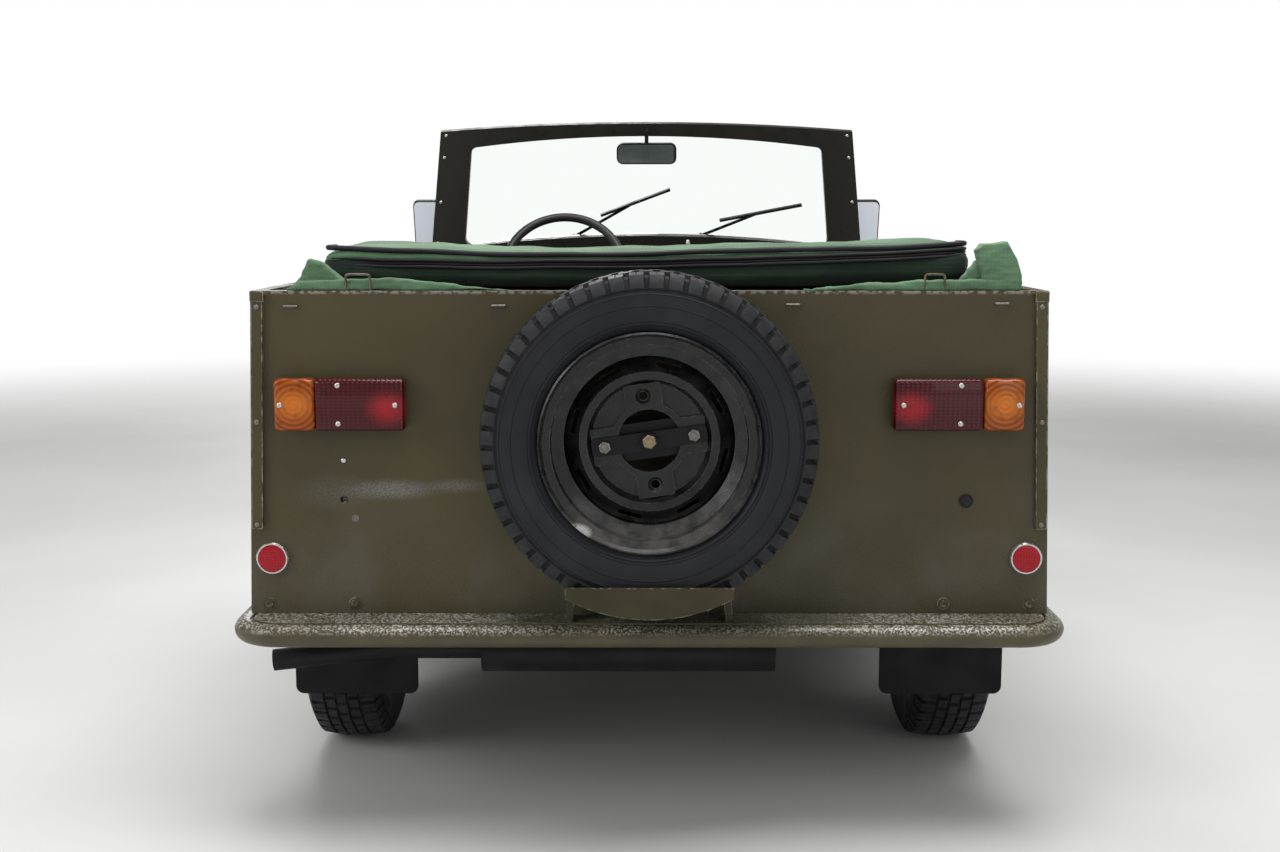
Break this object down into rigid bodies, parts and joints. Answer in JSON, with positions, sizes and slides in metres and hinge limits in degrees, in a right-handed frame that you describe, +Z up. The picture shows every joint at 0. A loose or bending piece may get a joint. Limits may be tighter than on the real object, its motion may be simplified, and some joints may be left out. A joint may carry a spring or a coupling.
{
  "type": "open light army car",
  "caption": "Open-topped light army car with steerable wheels, folding windscreen, lifting bonnet, folded soft top and a spare wheel on its flat rear panel.",
  "frame": {"origin": "on the ground, under the middle of the car's box, tyres' lowest point at Z 0", "axes": "+Z up, +Y forwards along the car, +X to the car's right"},
  "size_m": [1.5518, 3.69, 1.4406],
  "materials": {
    "tyre_rubber": "matt black rubber",
    "wheel_black": "satin black",
    "cast_hub": "bare casting",
    "body_green": "dull olive drab",
    "floor_green": "dull olive drab",
    "chassis_black": "satin",
    "grille_black": "matt",
    "bumper_green": "dull olive drab",
    "screen_frame": "satin dark brown",
    "clear_glass": "clear",
    "black_trim": "matt",
    "seat_cloth": "woven coated cloth",
    "engine_metal": "bare metal",
    "belt_rubber": "matt",
    "exhaust_steel": "heat stained",
    "tank_paint": "satin black",
    "head_lamp": "fluted",
    "tail_lamp": "ribbed lens",
    "hood_canvas": "woven canvas"
  },
  "bodies": {
    "body": {"chassis_rails": "chassis_black", "corner_strips": "body_green", "dashboard": "black_trim", "drive_belts": "belt_rubber", "engine": "engine_metal", "exhaust": "exhaust_steel", "final_drive": "engine_metal", "floor_pan": "floor_green", "folded_hood": "hood_canvas", "front_bumper": "bumper_green", "front_crossmember": "chassis_black", "front_lights": "head_lamp", "front_seats": "seat_cloth", "front_wing_left": "body_green", "front_wing_right": "body_green", "fuel_tank": "tank_paint", "grille": "grille_black", "hand_controls": "black_trim", "hood_bows": "chassis_black", "leaf_springs": "chassis_black", "mud_flaps": "belt_rubber", "nose_panel": "body_green", "primary_drive": "engine_metal", "rear_axle": "chassis_black", "rear_bench": "seat_cloth", "rear_bumper": "bumper_green", "rear_lights": "tail_lamp", "rear_panel": "body_green", "scuttle": "body_green", "seat_frames": "chassis_black", "side_panel_left": "body_green", "side_panel_right": "body_green", "spare_carrier": "body_green", "spare_tyre": "tyre_rubber", "spare_wheel": "wheel_black", "steering_column": "chassis_black", "wheel_boxes": "floor_green"},
    "wheel_front_left_body": {"tyre_front_left": "tyre_rubber", "wheel_front_left": "wheel_black", "hub_front_left": "cast_hub"},
    "wheel_front_right_body": {"tyre_front_right": "tyre_rubber", "wheel_front_right": "wheel_black", "hub_front_right": "cast_hub"},
    "wheel_rear_left_body": {"tyre_rear_left": "tyre_rubber", "wheel_rear_left": "wheel_black", "hub_rear_left": "cast_hub"},
    "wheel_rear_right_body": {"tyre_rear_right": "tyre_rubber", "wheel_rear_right": "wheel_black", "hub_rear_right": "cast_hub"},
    "knuckle_left_body": {"knuckle_left": "chassis_black"},
    "knuckle_right_body": {"knuckle_right": "chassis_black"},
    "rack_body": {"tie_rods": "chassis_black"},
    "steering_wheel_body": {"steering_wheel": "black_trim"},
    "bonnet_body": {"bonnet": "body_green"},
    "windscreen_body": {"windscreen_frame": "screen_frame", "windscreen_glass": "clear_glass", "wipers": "black_trim", "mirrors": "black_trim"}
  },
  "joints": [
    {"name": "steer_left", "type": "hinge", "parent": "body", "child": "knuckle_left_body", "pos_m": [-0.56, 1.145, 0.19], "axis": [0.0856, 0, 0.9963], "range_deg": [-32, 32]},
    {"name": "steer_right", "type": "hinge", "parent": "body", "child": "knuckle_right_body", "pos_m": [0.56, 1.145, 0.19], "axis": [-0.0856, 0, 0.9963], "range_deg": [-32, 32]},
    {"name": "steering_wheel_turn", "type": "hinge", "parent": "body", "child": "steering_wheel_body", "pos_m": [-0.25, 0.19, 0.992], "axis": [0, -0.848, 0.5299], "range_deg": [-520, 520]},
    {"name": "rack_slide", "type": "slide", "parent": "body", "child": "rack_body", "axis": [1, 0, 0], "range_m": [-0.07, 0.07]},
    {"name": "spin_front_left", "type": "hinge", "parent": "knuckle_left_body", "child": "wheel_front_left_body", "pos_m": [-0.64, 1.145, 0.302], "axis": [1, 0, 0], "continuous": true},
    {"name": "spin_front_right", "type": "hinge", "parent": "knuckle_right_body", "child": "wheel_front_right_body", "pos_m": [0.64, 1.145, 0.302], "axis": [1, 0, 0], "continuous": true},
    {"name": "spin_rear_left", "type": "hinge", "parent": "body", "child": "wheel_rear_left_body", "pos_m": [-0.64, -1.11, 0.302], "axis": [1, 0, 0], "continuous": true},
    {"name": "spin_rear_right", "type": "hinge", "parent": "body", "child": "wheel_rear_right_body", "pos_m": [0.64, -1.11, 0.302], "axis": [1, 0, 0], "continuous": true},
    {"name": "bonnet_hinge", "type": "hinge", "parent": "body", "child": "bonnet_body", "pos_m": [0, 1.742, 0.876], "axis": [1, 0, 0], "range_deg": [-55, 0]},
    {"name": "windscreen_fold", "type": "hinge", "parent": "body", "child": "windscreen_body", "pos_m": [0, 0.59, 1.015], "axis": [-1, 0, 0], "range_deg": [0, 104]}
  ],
  "couplings": [
    {"joint": "steer_right", "follows": "steer_left", "ratio": 1},
    {"joint": "steering_wheel_turn", "follows": "steer_left", "ratio": 16},
    {"joint": "rack_slide", "follows": "steer_left", "m_per_rad": 0.12}
  ]
}
